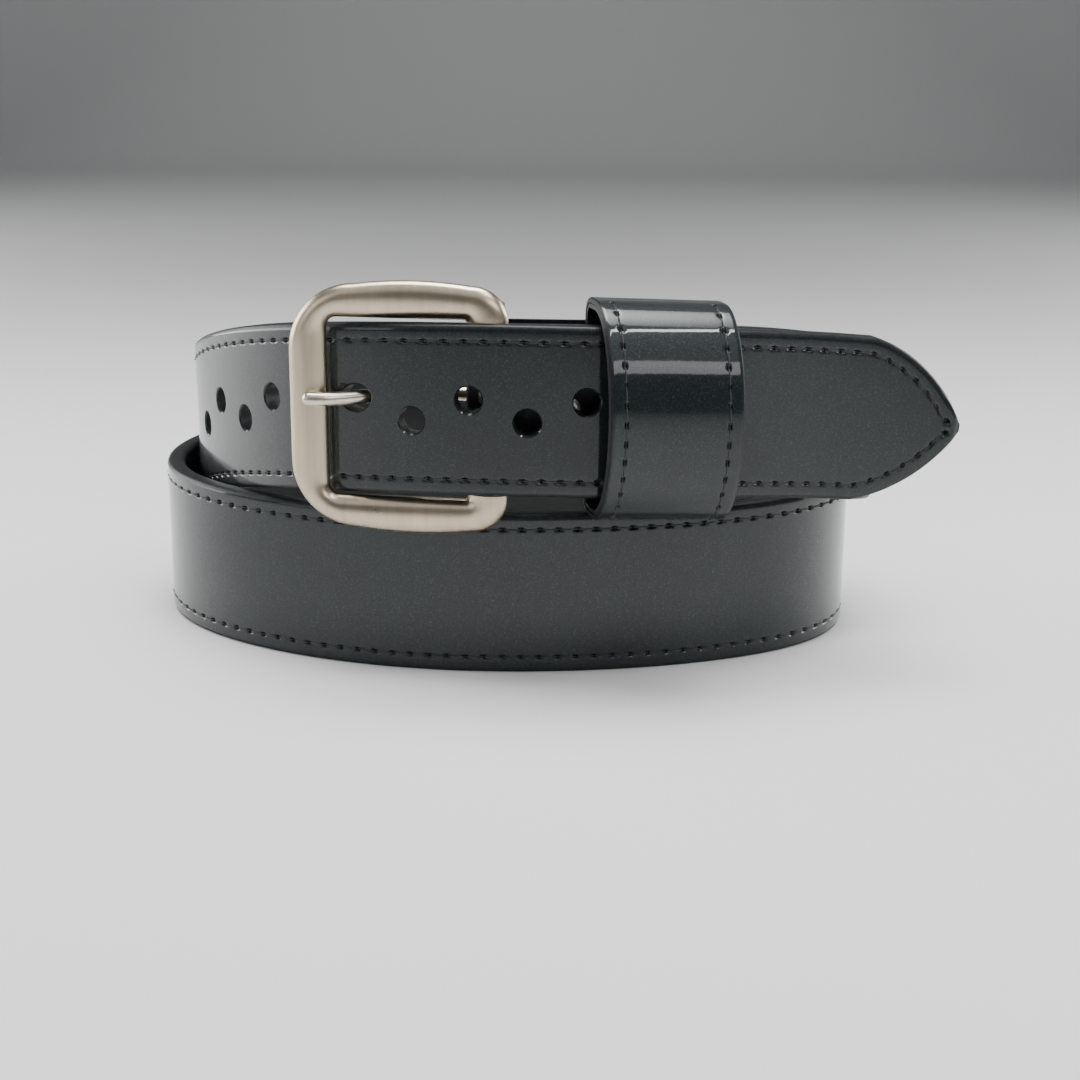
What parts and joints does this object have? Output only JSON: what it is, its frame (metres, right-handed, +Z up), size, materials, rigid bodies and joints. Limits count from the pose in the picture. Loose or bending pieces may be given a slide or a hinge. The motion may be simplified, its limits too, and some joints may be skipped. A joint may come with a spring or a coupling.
{
  "type": "leather belt",
  "caption": "Stitched patent-leather dress belt with a pointed, punched tip, a heel-bar buckle with a prong, and a leather keeper, buckled and coiled to stand on its edge.",
  "frame": {"origin": "middle of the footprint of the wound belt, at floor level", "axes": "+Z up across the strap's width, +X along the long side towards the pointed tip, -Y the side that shows the buckle"},
  "size_m": [0.1931, 0.1275, 0.0913],
  "materials": {
    "face_leather": "glossy pearl patent",
    "keeper_leather": "glossy pearl patent",
    "lining_leather": "smooth matt",
    "thread": "waxed sewing thread",
    "buckle_metal": "satin nickel",
    "prong_metal": "satin nickel",
    "rivet_metal": "nickel",
    "staple_wire": "bare wire"
  },
  "bodies": {
    "strap": {"strap_face": "face_leather", "strap_lining": "lining_leather", "strap_thread_top": "thread", "strap_thread_bottom": "thread", "rivet_caps": "rivet_metal", "rivet_posts": "rivet_metal", "rivet_back_caps": "rivet_metal"},
    "buckle": {"buckle_frame": "buckle_metal"},
    "prong": {"buckle_prong": "prong_metal"},
    "keeper": {"keeper_shell": "keeper_leather", "keeper_lining": "lining_leather", "keeper_thread": "thread", "keeper_staple": "staple_wire"}
  },
  "joints": [
    {"name": "buckle_swivel", "type": "hinge", "parent": "strap", "child": "buckle", "pos_m": [-0.01227, -0.04165, 0.064], "axis": [0, 0, 1], "range_deg": [0, 2]},
    {"name": "prong_lift", "type": "hinge", "parent": "buckle", "child": "prong", "pos_m": [-0.01227, -0.04165, 0.064], "axis": [0, 0, 1], "range_deg": [0, 2]},
    {"name": "keeper_slide", "type": "slide", "parent": "strap", "child": "keeper", "axis": [0.9726, 0.2268, -0.0506], "range_m": [-0.002, 0.002]}
  ]
}
